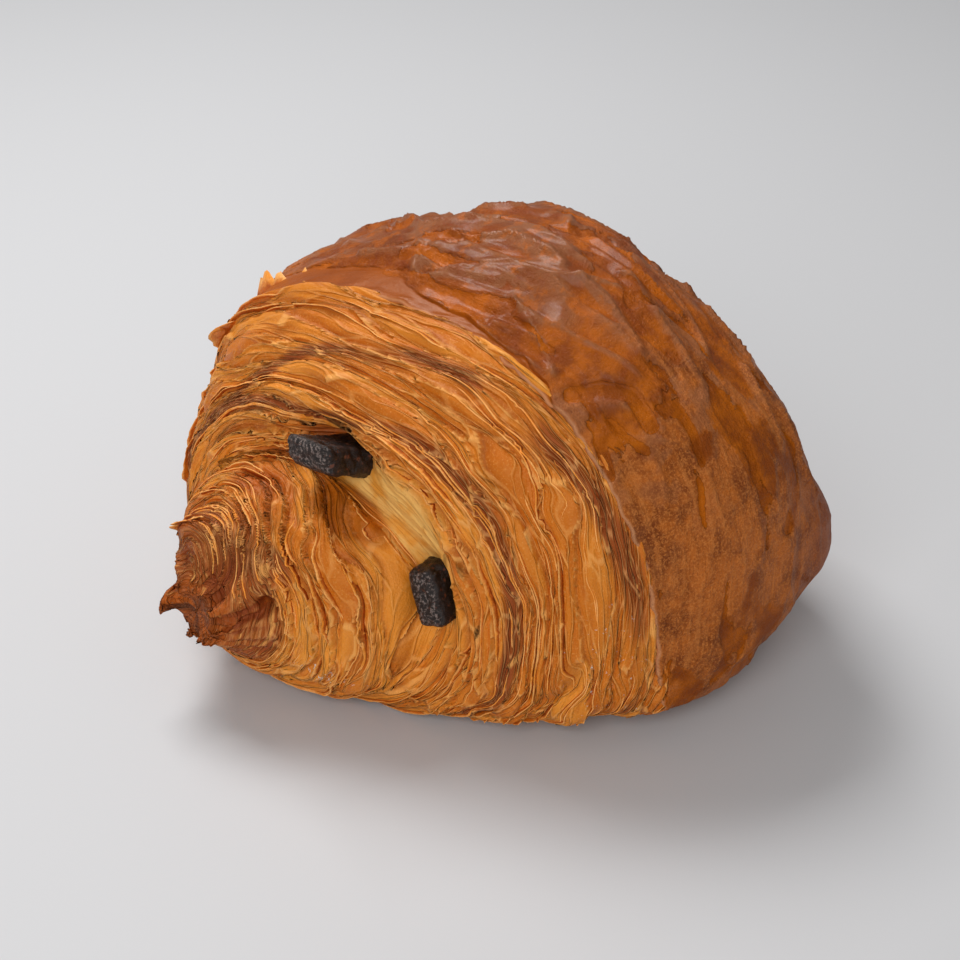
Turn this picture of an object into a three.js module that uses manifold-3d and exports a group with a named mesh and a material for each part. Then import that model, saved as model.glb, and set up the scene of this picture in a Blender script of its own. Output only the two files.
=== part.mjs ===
// Pain au chocolat: one rolled and baked laminated dough, with two chocolate batons that run
// through it and show in the folds at both ends. Millimetres, +Z up. X runs along the roll, with
// the pulled-out nose of the inner coil at -X, and the flat base rests on Z = 0.
import * as THREE from "three";
import { mergeVertices } from "three/addons/utils/BufferGeometryUtils.js";
import Module from "manifold-3d";

const wasm = await Module();
wasm.setup();

// Cross-sections of the roll, from the nose to the tail. Each is a rounded closed outline at one
// place along the roll: its centre across (y) and up (z), its half width, how far it rises above
// and drops below the centre, and how square its crown and its foot are (2 is an ellipse).
const SECTIONS = [
  { x: -50.5, y: 16.5, z: 22.0, half: 0.0, rise: 0.0, drop: 0.0, crown: 2.0, foot: 2.0 },
  { x: -49.5, y: 16.5, z: 22.0, half: 6.5, rise: 7.5, drop: 6.5, crown: 2.0, foot: 2.0 },
  { x: -45.0, y: 16.0, z: 21.5, half: 9.5, rise: 11.5, drop: 9.5, crown: 2.0, foot: 2.0 },
  { x: -40.5, y: 14.5, z: 20.0, half: 14.0, rise: 14.0, drop: 14.0, crown: 2.0, foot: 2.2 },
  { x: -35.5, y: 12.0, z: 19.5, half: 22.0, rise: 19.0, drop: 18.0, crown: 2.1, foot: 2.5 },
  { x: -29.5, y: 9.5, z: 21.0, half: 31.0, rise: 25.5, drop: 21.0, crown: 2.2, foot: 2.8 },
  { x: -22.5, y: 7.0, z: 23.0, half: 38.5, rise: 32.0, drop: 23.5, crown: 2.3, foot: 3.0 },
  { x: -12.5, y: 4.0, z: 26.0, half: 45.5, rise: 37.5, drop: 26.5, crown: 2.3, foot: 3.3 },
  { x: -0.5, y: 1.0, z: 28.0, half: 49.5, rise: 41.0, drop: 28.5, crown: 2.3, foot: 3.8 },
  { x: 11.5, y: 0.0, z: 28.5, half: 50.5, rise: 42.0, drop: 29.0, crown: 2.2, foot: 4.0 },
  { x: 22.5, y: 0.0, z: 28.0, half: 48.5, rise: 38.5, drop: 28.5, crown: 2.1, foot: 3.8 },
  { x: 31.5, y: 1.0, z: 26.5, half: 44.0, rise: 32.0, drop: 27.0, crown: 2.1, foot: 3.4 },
  { x: 39.0, y: 2.0, z: 24.5, half: 37.5, rise: 24.5, drop: 24.0, crown: 2.1, foot: 3.0 },
  { x: 44.5, y: 2.5, z: 23.0, half: 29.0, rise: 18.0, drop: 19.0, crown: 2.1, foot: 2.6 },
  { x: 48.0, y: 2.5, z: 21.5, half: 20.0, rise: 12.0, drop: 14.0, crown: 2.0, foot: 2.2 },
  { x: 50.0, y: 2.5, z: 21.0, half: 10.0, rise: 6.0, drop: 7.0, crown: 2.0, foot: 2.0 },
  { x: 50.5, y: 2.5, z: 21.0, half: 0.0, rise: 0.0, drop: 0.0, crown: 2.0, foot: 2.0 },
];
const ROWS_PER_SECTION = 3;
const COLUMNS = 60;

// The fold at each end, between the inner coil and the outer wrap, where the batons come out.
// Its place is counted in sections, and it is deep over part of a turn and a crease elsewhere.
const NOSE_FOLD = { section: 4.7, width: 0.42, depth: 8, crease: 1, middle: 138, reach: 66 };
const TAIL_FOLD = { section: 13.9, width: 0.4, depth: -5, crease: -1, middle: 130, reach: 90 };

// Each baton is 80 mm long, 10 mm wide and 5.5 mm thick. The tip is its front end, the tail its
// back end, and roll turns its section. The heat lifts the last stretch of the upper one.
const BATON_LENGTH = 80;
const BATON_WIDTH = 10;
const BATON_THICKNESS = 5.5;
const BATON_CORNER = 1.6;
const BATON_STEP = 5;
const UPPER_BATON = { tip: [-34, 5.2, 41.5], tail: [46, 0.5, 35], roll: -6, lift: 5, liftLength: 20 };
const LOWER_BATON = { tip: [-30.5, -13.5, 26], tail: [49.5, -10.5, 22], roll: 72, lift: 0, liftLength: 20 };
const BATON_GAP = 0.3;
const CHANNEL_LENGTH = 130;

const FOOT_LEVEL = 0;

// A value between 0 and 1 that falls smoothly from the middle of a turn to its reach, in degrees.
function turnWindow(degrees, middle, reach) {
  const apart = Math.abs(((degrees - middle + 540) % 360) - 180);
  return 1 - THREE.MathUtils.smoothstep(apart, reach * 0.6, reach * 1.4);
}

// How far the fold pushes the surface along the roll.
function foldDepth(fold, place, degrees) {
  const across = Math.exp(-(((place - fold.section) / fold.width) ** 2));
  const open = turnWindow(degrees, fold.middle, fold.reach);
  return across * THREE.MathUtils.lerp(fold.crease, fold.depth, open);
}

const signedPower = (value, power) => Math.sign(value) * Math.abs(value) ** power;

// One point of the pastry's skin: place counts sections from the nose, turn is in radians.
function skinPoint(section, place, turn) {
  const [x, y, z, half, rise, drop, crown, foot] = section;
  const above = Math.sin(turn) >= 0;
  const power = 2 / (above ? crown : foot);
  const degrees = THREE.MathUtils.radToDeg(turn);
  const push = foldDepth(NOSE_FOLD, place, degrees) + foldDepth(TAIL_FOLD, place, degrees);
  return [
    x + push,
    y + half * signedPower(Math.cos(turn), power),
    Math.max(FOOT_LEVEL, z + (above ? rise : drop) * signedPower(Math.sin(turn), power)),
  ];
}

// The closed skin: rings of points from pole to pole, joined by quads, with a fan at each pole.
function pastryGeometry() {
  const values = SECTIONS.flatMap((s) => Object.values(s));
  const size = Object.keys(SECTIONS[0]).length;
  const lofted = new THREE.CubicInterpolant(SECTIONS.map((_, i) => i), values, size);
  const last = SECTIONS.length - 1;
  const rows = last * ROWS_PER_SECTION;
  const points = [];
  for (let row = 1; row < rows; row++) {
    const place = row / ROWS_PER_SECTION;
    const section = [...lofted.evaluate(place)];
    for (let column = 0; column < COLUMNS; column++)
      points.push(skinPoint(section, place, (column / COLUMNS) * 2 * Math.PI));
  }
  const faces = [];
  for (let row = 0; row < rows - 2; row++)
    for (let column = 0; column < COLUMNS; column++) {
      const a = row * COLUMNS + column;
      const b = row * COLUMNS + ((column + 1) % COLUMNS);
      faces.push(a, b, a + COLUMNS, b, b + COLUMNS, a + COLUMNS);
    }
  const nose = points.push(Object.values(SECTIONS[0]).slice(0, 3)) - 1;
  const tail = points.push(Object.values(SECTIONS[last]).slice(0, 3)) - 1;
  const lastRow = (rows - 2) * COLUMNS;
  for (let column = 0; column < COLUMNS; column++) {
    const next = (column + 1) % COLUMNS;
    faces.push(nose, next, column, tail, lastRow + column, lastRow + next);
  }
  return new THREE.BufferGeometry()
    .setAttribute("position", new THREE.Float32BufferAttribute(points.flat(), 3))
    .setIndex(faces);
}

// A flat-sided bar with rounded corners along +X from the origin, grown by gap all round.
function barGeometry(length, gap) {
  const w = BATON_WIDTH / 2 + gap;
  const t = BATON_THICKNESS / 2 + gap;
  const r = BATON_CORNER + gap;
  const outline = new THREE.Shape()
    .absarc(w - r, t - r, r, 0, Math.PI / 2)
    .absarc(r - w, t - r, r, Math.PI / 2, Math.PI)
    .absarc(r - w, r - t, r, Math.PI, 1.5 * Math.PI)
    .absarc(w - r, r - t, r, 1.5 * Math.PI, 2 * Math.PI);
  return new THREE.ExtrudeGeometry(outline, {
    depth: length,
    steps: length / BATON_STEP,
    bevelEnabled: false,
    curveSegments: 3,
  });
}

// The bar of one baton, or of the channel round it, in its place in the roll.
function batonGeometry(baton, length, gap) {
  const tip = new THREE.Vector3(...baton.tip);
  const along = new THREE.Vector3(...baton.tail).sub(tip).normalize();
  const middle = tip.clone().addScaledVector(along, BATON_LENGTH / 2);
  const upright = new THREE.Vector3(0, 0, 1);
  const across = new THREE.Vector3().crossVectors(upright, along).normalize();
  const above = new THREE.Vector3().crossVectors(along, across);
  const geometry = barGeometry(length, gap)
    .translate(0, 0, -length / 2)
    .rotateZ(THREE.MathUtils.degToRad(baton.roll))
    .applyMatrix4(new THREE.Matrix4().makeBasis(across, above, along).setPosition(middle));
  const position = geometry.getAttribute("position");
  for (let i = 0; i < position.count; i++) {
    const bent = Math.max(0, tip.x + baton.liftLength - position.getX(i)) / baton.liftLength;
    position.setZ(i, position.getZ(i) + baton.lift * bent ** 2);
  }
  return geometry;
}

function solidOf(geometry) {
  geometry.deleteAttribute("normal");
  geometry.deleteAttribute("uv");
  const merged = mergeVertices(geometry, 1e-3);
  return new wasm.Manifold(
    new wasm.Mesh({
      numProp: 3,
      vertProperties: merged.getAttribute("position").array,
      triVerts: new Uint32Array(merged.index.array),
    }),
  );
}

function geometryOf(solid) {
  const { vertProperties, triVerts } = solid.getMesh();
  const geometry = new THREE.BufferGeometry()
    .setAttribute("position", new THREE.BufferAttribute(vertProperties, 3))
    .setIndex(new THREE.BufferAttribute(triVerts, 1));
  geometry.computeVertexNormals();
  return geometry;
}

const crust = new THREE.MeshStandardMaterial({ color: 0xb8641f, roughness: 0.45, metalness: 0 });
const chocolate = new THREE.MeshStandardMaterial({ color: 0x2a1c18, roughness: 0.55, metalness: 0 });

const batons = [
  ["upper_chocolate_baton", UPPER_BATON],
  ["lower_chocolate_baton", LOWER_BATON],
];

const roll = new THREE.Group();
let pastry = solidOf(pastryGeometry());
for (const [name, baton] of batons) {
  pastry = pastry.subtract(solidOf(batonGeometry(baton, CHANNEL_LENGTH, BATON_GAP)));
  const mesh = new THREE.Mesh(batonGeometry(baton, BATON_LENGTH, 0), chocolate);
  mesh.name = name;
  roll.add(mesh);
}
const pastryMesh = new THREE.Mesh(geometryOf(pastry), crust);
pastryMesh.name = "baked_pastry";
roll.add(pastryMesh);

export default roll;
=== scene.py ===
"""Pain au chocolat: a rolled, egg-washed, laminated dough baked round two chocolate batons.

Sizes in the tables are millimetres along the roll (+X), across it (+Y) and up (+Z), as in the frame.
Meshes and properties are in metres.

A point of the roll has a place along it, counted in rows of the SECTIONS table from 0 at the nose, and
a turn round it in degrees: 0 is the far side (+Y), 90 the top, 180 the near side and 270 the underside.
"""

import math

import bpy
import numpy as np
from mathutils import Matrix, Vector


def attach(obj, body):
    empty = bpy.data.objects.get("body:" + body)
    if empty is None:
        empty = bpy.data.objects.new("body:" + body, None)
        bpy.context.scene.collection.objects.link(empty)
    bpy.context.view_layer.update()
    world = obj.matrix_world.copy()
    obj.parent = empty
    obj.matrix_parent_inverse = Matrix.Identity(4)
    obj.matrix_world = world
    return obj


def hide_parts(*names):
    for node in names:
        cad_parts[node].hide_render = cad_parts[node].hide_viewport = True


bl_info = {
    "name": "Pain au chocolat",
    "version": (1, 0, 0),
    "blender": (4, 5, 0),
    "location": "View3D > Sidebar > Pastry",
    "description": "Bakes a laminated chocolate pastry round the packed frame",
    "category": "Add Mesh",
}

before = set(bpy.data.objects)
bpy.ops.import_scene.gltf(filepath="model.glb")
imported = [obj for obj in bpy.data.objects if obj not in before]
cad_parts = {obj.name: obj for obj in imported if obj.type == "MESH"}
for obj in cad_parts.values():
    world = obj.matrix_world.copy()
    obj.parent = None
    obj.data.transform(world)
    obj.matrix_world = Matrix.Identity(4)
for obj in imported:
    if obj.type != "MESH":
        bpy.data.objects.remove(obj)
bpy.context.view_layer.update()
MM = 0.001

# Seeds of the noise and the scattered cells, by what each one shapes or colours.
SEEDS = {
    "form": 11, "swell": 31, "warp": 3, "clump": 5, "split": 8, "sheets": 51, "leaves": 52,
    "folds": 21, "blister": 23, "tear": 27, "plates": 53, "crinkles": 54, "ribbons": 71, "ragged": 73,
    "upper_chocolate_baton": 40, "lower_chocolate_baton": 41,
}

# Cross-sections of the roll from the nose to the tail: place along the roll (x), centre (y, z),
# half width, rise above and drop below the centre, squareness of the crown and of the foot.
SECTIONS = np.array([
    (-50.5, 19.5, 18.0, 0.0, 0.0, 0.0, 2.0, 2.0),
    (-49.5, 19.5, 18.0, 5.0, 5.0, 5.0, 2.0, 2.0),
    (-45.0, 18.5, 18.5, 9.0, 8.5, 8.0, 2.0, 2.0),
    (-40.5, 15.5, 19.5, 14.0, 13.5, 13.5, 2.0, 2.2),
    (-35.5, 12.0, 19.5, 22.0, 19.0, 18.0, 2.1, 2.5),
    (-29.5, 9.5, 21.0, 31.0, 25.5, 21.0, 2.2, 2.8),
    (-22.5, 7.0, 23.0, 38.5, 32.0, 23.5, 2.3, 3.0),
    (-12.5, 4.0, 26.0, 45.5, 37.5, 26.5, 2.3, 3.3),
    (-0.5, 1.0, 28.0, 49.5, 41.0, 28.5, 2.3, 3.8),
    (11.5, 0.0, 28.5, 50.5, 42.0, 29.0, 2.2, 4.0),
    (22.5, 0.0, 28.0, 48.5, 38.5, 28.5, 2.1, 3.8),
    (31.5, 1.0, 26.5, 44.0, 32.0, 27.0, 2.1, 3.4),
    (39.0, 2.0, 24.5, 37.5, 24.5, 24.0, 2.1, 3.0),
    (44.5, 2.5, 23.0, 29.0, 18.0, 19.0, 2.1, 2.6),
    (48.0, 2.5, 21.5, 20.0, 12.0, 14.0, 2.0, 2.2),
    (50.0, 2.5, 21.0, 10.0, 6.0, 7.0, 2.0, 2.0),
    (50.5, 2.5, 21.0, 0.0, 0.0, 0.0, 2.0, 2.0),
])
LAST_PLACE = len(SECTIONS) - 1

# Half width of the roll, in millimetres, from which patterns on it keep their full scale round it.
FULL_GIRTH = 36
# Steps in which the roll is measured along its length and round it, and the place for the latter.
ROLL_STEPS = 6400
ROUND_STEPS = 1440
MEASURED_AT = 7.5

# Both skins are grids of rows from front to tail and columns round the roll. Columns stand closest where
# the skin shows, and under is the share of them that the underside keeps. Row steps are millimetres
# between rows of the dough: at the front, under the crust, and at the tail.
DOUGH_GRID = {"rows": 372, "columns": 266, "under": 0.28}
CRUST_GRID = {"rows": 206, "columns": 470, "under": 0.3}
ROW_STEPS = {"end": 0.3, "covered": 2.2, "tail": 0.8}

# Where the outer wrap ends at the front (turn, place), and where its skin is torn back from that edge
# to bare a glazed band. Then the places where the wrap ends at the tail, and where the dough's rows
# widen because the crust covers them.
WRAP_FRONT = (
    (0, 6.9), (60, 6.88), (74, 6.95), (87, 7.02), (97, 6.98), (117, 6.93), (156, 6.95), (176, 7.09),
    (213, 7.5), (250, 7.3), (300, 7.0), (360, 6.9),
)
BARED_BAND = (
    (0, 7.5), (30, 7.5), (50, 7.57), (68, 7.5), (82, 7.37), (88, 7.27), (104, 7.08), (122, 6.98),
    (140, 6.85), (200, 6.85), (300, 6.85), (360, 7.5),
)
WRAP_TAIL = 12.3
COVERED_FROM = 7.75

# Dark bands where the layers stay tight, as (turn, place) points: one along the lip of the fold, one
# that climbs from the left to run under the wrap's edge.
TIGHT_BANDS = (
    ((0, 5.1), (50, 5.2), (86, 5.15), (108, 5.6), (136, 5.66), (174, 5.62), (192, 5.5), (250, 5.4),
     (360, 5.1)),
    ((0, 5.0), (28, 5.15), (50, 5.3), (70, 5.85), (84, 6.24), (100, 6.52), (138, 6.68), (165, 6.86),
     (195, 7.1), (250, 6.9), (360, 5.0)),
)

# Places where layers part round a smooth film: place, turn, half length in degrees, half width.
FILMS = (
    (6.42, 68, 24, 2.6), (6.70, 93, 15, 1.9), (5.80, 92, 16, 1.9), (6.30, 108, 10, 1.7),
    (6.60, 121, 9, 1.7), (6.15, 134, 12, 2.2), (6.45, 149, 9, 2.2), (5.95, 158, 12, 1.7),
    (6.45, 173, 13, 2.7), (6.25, 190, 9, 2.2), (6.60, 207, 10, 2.6), (3.98, 162, 22, 2.2),
    (4.00, 128, 14, 1.6), (4.05, 190, 12, 1.8), (3.85, 214, 14, 2.0), (5.60, 36, 16, 1.8),
    (6.10, 48, 14, 2.2), (6.60, 30, 12, 2.0), (5.20, 205, 12, 1.6), (3.62, 150, 26, 2.0),
    (3.66, 188, 16, 1.8), (3.5, 116, 13, 1.5), (7.0, 195, 14, 1.8), (6.95, 60, 22, 2.0),
)

# Loose flakes: place, first and last turn, height, how far they lean towards the tail, raggedness.
FLAKES = (
    (7.34, 26, 46, 2.2, 0.9, 1.0), (7.4, 30, 54, 1.4, 1.2, 1.2), (7.2, 40, 66, 1.1, -0.5, 0.8),
    (6.75, 24, 39, 2.2, -0.9, 0.3), (6.55, 10, 40, 0.9, 0.2, 0.5), (6.1, 4, 38, 0.9, -0.8, 0.5),
    (5.7, 2, 30, 0.9, -0.7, 0.5), (5.25, 2, 24, 1.1, -0.9, 0.7), (4.9, 2, 20, 0.8, -0.6, 0.4),
    (6.3, 206, 224, 1.2, -0.5, 0.2), (5.6, 212, 228, 1.1, -0.5, 0.2), (3.0, 40, 66, 1.7, -1.0, 0.2),
    (2.75, 36, 58, 1.5, -0.6, 0.35), (3.3, 196, 222, 1.2, -0.7, 0.1),
    (3.75, 150, 200, 1.2, -0.8, 0.1), (4.02, 108, 150, 0.9, -0.9, 0.08),
    (3.45, 118, 172, 1.0, -0.8, 0.1), (3.75, 138, 205, 1.5, -1.1, 0.15),
    (3.3, 140, 190, 1.0, -0.9, 0.1), (5.45, 98, 140, 0.9, -1.0, 0.08),
    (5.4, 150, 186, 0.9, -0.9, 0.08), (6.75, 75, 125, 0.9, -0.9, 0.1),
    (6.2, 150, 200, 1.0, -1.0, 0.1),
)

# Slow swellings and hollows: place, turn, spread in places and in degrees, height.
SWELLINGS = (
    (9.8, 83, 0.6, 9, 1.9), (9.9, 97, 0.4, 7, 1.3), (6.5, 226, 0.6, 8, 1.0),
    (2.7, 52, 0.35, 20, 2.6), (2.28, 163, 0.15, 8, -5.0), (1.9, 178, 0.4, 16, -1.0),
    (1.9, 110, 0.5, 25, -1.2), (1.2, 290, 0.6, 45, -1.0), (8.6, 66, 1.3, 17, -3.6),
    (8.2, 47, 0.6, 9, -1.0), (8.4, 208, 0.7, 9, -0.8), (9.8, 66, 0.6, 12, -2.2),
    (10.1, 88, 0.5, 10, -1.4), (9.2, 90, 0.7, 10, -0.5), (10.2, 131, 1.6, 20, -2.4),
    (10.1, 108, 0.6, 10, -1.4), (11.2, 148, 0.6, 12, -1.8), (10.9, 163, 0.7, 9, -2.2),
    (10.5, 183, 0.8, 7, 2.6), (9.7, 209, 1.2, 9, -3.2), (8.0, 213, 1.6, 11, 2.0),
    (5.0, 236, 1.3, 16, -1.0),
)

# Creases that stand up in the crust, each a run of (place, turn) points with its height and width.
WRINKLES = (
    (((8.3, 106), (8.26, 114), (8.11, 125)), 1.0, 1.0),
    (((7.62, 101), (7.4, 110), (7.22, 119)), 0.9, 0.9),
    (((8.65, 120), (8.62, 128), (8.54, 137)), 0.8, 1.0),
    (((9.6, 138), (9.49, 144), (9.37, 156)), 1.0, 1.2),
    (((8.0, 78), (8.2, 84), (8.5, 90), (8.34, 102)), 1.5, 1.3),
    (((7.7, 66), (7.75, 78), (7.6, 88), (7.75, 96)), 0.9, 1.1),
    (((9.3, 98), (9.1, 110), (9.2, 122)), 1.1, 1.2),
    (((10.3, 112), (9.9, 124), (10.0, 136)), 1.1, 1.4),
    (((8.9, 60), (8.5, 70), (8.7, 80)), 1.0, 1.4),
    (((10.6, 70), (10.0, 84), (10.4, 98)), 1.2, 1.6),
    (((9.9, 150), (9.8, 162), (10.2, 172)), 0.8, 1.1),
)

# Gaps torn in the skin of the crust: a run of (place, turn) points and its half width.
TEARS = (
    (((7.16, 126), (7.44, 128), (7.64, 132), (7.62, 140)), 1.3),
    (((7.26, 127), (7.22, 133), (7.08, 138), (7.0, 146)), 0.9),
    (((8.59, 108), (8.73, 113), (8.5, 116)), 1.2),
    (((8.0, 139), (8.02, 145), (7.96, 152)), 0.8),
    (((8.9, 146), (8.84, 150)), 0.9),
)

# The batons are the same bar: its size, the rounding of its edges, and the size of its mesh's grains.
# Each has its front end, back end, turn of the section, and how far its front bends up over a length.
BATON = {"length": 80.0, "width": 10.0, "thickness": 5.5, "rounding": 1.5, "grain": 0.32}
BATONS = {
    "upper_chocolate_baton": {
        "tip": (-34.8, 6.2, 41.3), "tail": (46, 0.5, 35), "roll": -6, "lift": 5,
    },
    "lower_chocolate_baton": {
        "tip": (-30.5, -13.5, 26), "tail": (49.5, -10.5, 22), "roll": 72, "lift": 0,
    },
}
LIFT_LENGTH = 20.0

# Ribbons that stand up along the layers: how many, and how ragged their edges are.
RIBBONS = {"count": 150, "raggedness": 0.14}
# How many ribbons are joined at a time.
RIBBON_BATCH = 16

# Finishes: light that skims off glazed dough comes back tinted by the glaze. Relief is millimetres.
WARM_SHINE = (1.0, 0.70, 0.44, 1.0)
RELIEF = {"dough": 0.42, "crust": 0.75, "edges": 0.15, "chocolate": 0.45}
DOUGH_IOR = 1.45
CHOCOLATE_IOR = 1.45
EGG_WASH_IOR = 1.45
EGG_WASH_ROUGHNESS = 0.22
CRUST_IOR = 1.34

# The stage: where the camera stands (degrees and metres), its lens in millimetres, the millimetres that
# it aims at and how far that is moved down and left in the view. Lights are watts, size, place and aim.
VIEW = {"azimuth": -49, "elevation": 32, "distance": 0.374, "lens": 85, "sensor": 36}
AIM = (2.5, 1.5, 28)
AIM_SHIFT = 1.65
LIGHTS = (
    ("softbox", 2.0, (0.26, 0.2), (0.06, 0.26, 0.46)),
    ("fill", 2.7, (0.45, 0.4), (-0.55, -0.3, 0.42)),
)
LIGHT_AIM = (0, 0, 0.03)
ROOM_LIGHT = 0.26
TABLE_SIZE = 6.0


# ---------------------------------------------------------------- numbers

def smooth(value, low, high):
    """0 below low, 1 above high and a smooth step between them."""
    t = np.clip((value - low) / (high - low), 0, 1)
    return t * t * (3 - 2 * t)


def bell(value, middle, width):
    """1 at the middle, falling away on both sides as a bell of the given width."""
    return np.exp(-(((value - middle) / width) ** 2))


def turn_gap(turn, middle):
    """Degrees from middle to a turn, signed and never more than half a turn."""
    return (turn - middle + 540) % 360 - 180


def turn_bell(turn, middle, width):
    """A bell round the roll, with its middle and width in degrees."""
    return bell(turn_gap(turn, middle), 0, width)


class Noise:
    """Seeded gradient noise in three dimensions, between about -1 and 1."""

    def __init__(self, seed):
        draw = np.random.default_rng(seed)
        self.order = np.tile(draw.permutation(256), 3)
        slopes = draw.normal(size=(256, 3))
        self.slopes = slopes / np.linalg.norm(slopes, axis=1, keepdims=True)

    def __call__(self, x, y, z):
        x, y, z = np.broadcast_arrays(x, y, z)
        cell = [np.floor(v).astype(int) for v in (x, y, z)]
        part = [v - c for v, c in zip((x, y, z), cell)]
        fade = [p * p * p * (p * (p * 6 - 15) + 10) for p in part]
        total = 0
        for corner in np.ndindex(2, 2, 2):
            i, j, k = ((c + d) & 255 for c, d in zip(cell, corner))
            slope = self.slopes[self.order[self.order[self.order[i] + j] + k]]
            value = sum(slope[..., n] * (part[n] - corner[n]) for n in range(3))
            weight = 1
            for n in range(3):
                weight = weight * (fade[n] if corner[n] else 1 - fade[n])
            total = total + weight * value
        return total * 1.7


class Cells:
    """Seeded cells grown round scattered points, in three dimensions."""

    def __init__(self, seed):
        draw = np.random.default_rng(seed)
        self.order = np.tile(draw.permutation(256), 3)
        self.spots = draw.uniform(0.08, 0.92, (256, 3))
        self.tones = draw.uniform(size=256)

    def neighbours(self, spot, home):
        for step in np.ndindex(3, 3, 3):
            cell = home + np.array(step) - 1
            i, j, k = (cell[..., n] & 255 for n in range(3))
            kind = self.order[self.order[self.order[i] + j] + k]
            yield cell + self.spots[kind] - spot, self.tones[kind]

    def __call__(self, x, y, z):
        """How far inside its border a point is, its offset from the middle along x, the cell's tone."""
        spot = np.stack(np.broadcast_arrays(x, y, z), -1)
        home = np.floor(spot).astype(int)
        best = np.full(spot.shape[:-1], np.inf)
        nearest = np.zeros(spot.shape)
        tone = np.zeros(spot.shape[:-1])
        for away, kind in self.neighbours(spot, home):
            length = (away * away).sum(-1)
            closer = length < best
            best = np.where(closer, length, best)
            nearest = np.where(closer[..., None], away, nearest)
            tone = np.where(closer, kind, tone)
        border = np.full(best.shape, np.inf)
        for away, _ in self.neighbours(spot, home):
            apart = away - nearest
            length = np.sqrt((apart * apart).sum(-1))
            half = ((away + nearest) / 2 * apart).sum(-1) / np.maximum(length, 1e-9)
            border = np.where(length > 1e-6, np.minimum(border, half), border)
        return border, -nearest[..., 0], tone


# ---------------------------------------------------------------- form of the roll

def section_at(place):
    """The section values at a place, on a smooth curve through the table."""
    place = np.asarray(place, float)
    i = np.clip(np.floor(place).astype(int), 0, LAST_PLACE - 1)
    t = (place - i)[..., None]
    a = SECTIONS[np.maximum(i - 1, 0)]
    b = SECTIONS[i]
    c = SECTIONS[i + 1]
    d = SECTIONS[np.minimum(i + 2, LAST_PLACE)]
    curve = 2 * b + (c - a) * t + (2 * a - 5 * b + 4 * c - d) * t**2 + (3 * b - a - 3 * c + d) * t**3
    return 0.5 * curve


def fold_window(turn, middle, reach):
    """1 round a turn and 0 past a reach of degrees from it."""
    return 1 - smooth(np.abs(turn_gap(turn, middle)), reach * 0.6, reach * 1.4)


def crease_place(turn):
    """The bottom of the fold."""
    return 4.2 + 0.08 * np.sin(np.radians(turn * 2 + 20))


def front_fold(place, turn):
    """How far the fold between inner coil and outer wrap sinks in: steepest on the coil's side."""
    beyond = place - crease_place(turn)
    depth = 2.0 + 4.6 * fold_window(turn, 132, 72) + 2.6 * turn_bell(turn, 162, 17)
    across = np.where(beyond < 0, bell(beyond, 0, 0.28), bell(beyond, 0, 0.62))
    pocket = 6.0 * bell(beyond, 0.6, 0.32) * turn_bell(turn, 95, 13)
    return depth * across + pocket


def tail_fold(place, turn):
    """The same fold at the tail, where it only shows as a groove."""
    depth = 1.0 + 4.0 * fold_window(turn, 130, 90)
    return -depth * bell(place, 13.9, 0.4)


def torn_nose(place, turn, noise):
    """The pulled-off end of the coil: a shallow crater with a ragged rim."""
    angle = np.radians(turn)
    rim = bell(place, 1.15, 0.4)
    tooth = noise(np.cos(angle) * 2.4, np.sin(angle) * 2.4, 0.5)
    small = noise(np.cos(angle) * 7.0, np.sin(angle) * 7.0, 4.5)
    spike = turn_bell(turn, 350, 18) + 0.7 * turn_bell(turn, 282, 13)
    crater = 2.6 * (1 - smooth(place, 0.3, 1.1))
    return crater + rim * (1.0 - 1.8 * tooth - 0.7 * small - 2.2 * spike)


def roll_points(place, turn, noise):
    """Points of the roll before its layers: place and turn (degrees) are arrays of one shape."""
    x, y, z, half, rise, drop, crown, foot = np.moveaxis(section_at(place), -1, 0)
    angle = np.radians(turn)
    cos, sin = np.cos(angle), np.sin(angle)
    above = sin >= 0
    power = 2 / np.where(above, crown, foot)
    across = np.sign(cos) * np.abs(cos) ** power
    up = np.sign(sin) * np.abs(sin) ** power
    push = front_fold(place, turn) + tail_fold(place, turn) + torn_nose(place, turn, noise)
    return np.stack([x + push, y + half * across, z + np.where(above, rise, drop) * up], -1)


def travel(noise):
    """Places from nose to tail and how far each lies along the visible side, in millimetres."""
    fine = np.linspace(0, LAST_PLACE, ROLL_STEPS)
    turns = np.array([40.0, 80.0, 110.0, 140.0, 170.0, 200.0])
    points = roll_points(*np.meshgrid(fine, turns, indexing="ij"), noise)
    gone = np.linalg.norm(np.diff(points, axis=0), axis=2).mean(1)
    return fine, np.concatenate([[0], np.cumsum(gone)])


def even_places(noise, rows):
    """The place of each row of the dough, so that rows stand the wanted steps apart."""
    fine, reach = travel(noise)
    middle = (fine[1:] + fine[:-1]) / 2
    step = np.where(middle < COVERED_FROM, ROW_STEPS["end"], ROW_STEPS["covered"])
    step = np.where(middle > WRAP_TAIL - 0.3, ROW_STEPS["tail"], step)
    count = np.concatenate([[0], np.cumsum(np.diff(reach) / step)])
    return np.interp(np.linspace(0, count[-1], rows + 1), count, fine)


def even_turns(noise, columns, under):
    """The turn of each column in degrees, close together where the skin shows.

    The roll is measured near its wrap's front edge. Columns stand further apart below and behind.
    """
    fine = np.linspace(0, 360, ROUND_STEPS + 1)
    points = roll_points(np.full_like(fine, MEASURED_AT), fine, noise)
    gone = np.linalg.norm(np.diff(points, axis=0), axis=1)
    middle = (fine[1:] + fine[:-1]) / 2
    base = smooth(middle, 228, 245) * (1 - smooth(middle, 305, 330))
    behind = smooth(middle, 322, 335) + 1 - smooth(middle, 15, 40)
    gone = gone * (1 - (1 - under) * base) * (1 - 0.35 * behind)
    count = np.concatenate([[0], np.cumsum(gone)])
    return np.interp(np.linspace(0, count[-1], columns + 1)[:-1], count, fine)


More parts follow.
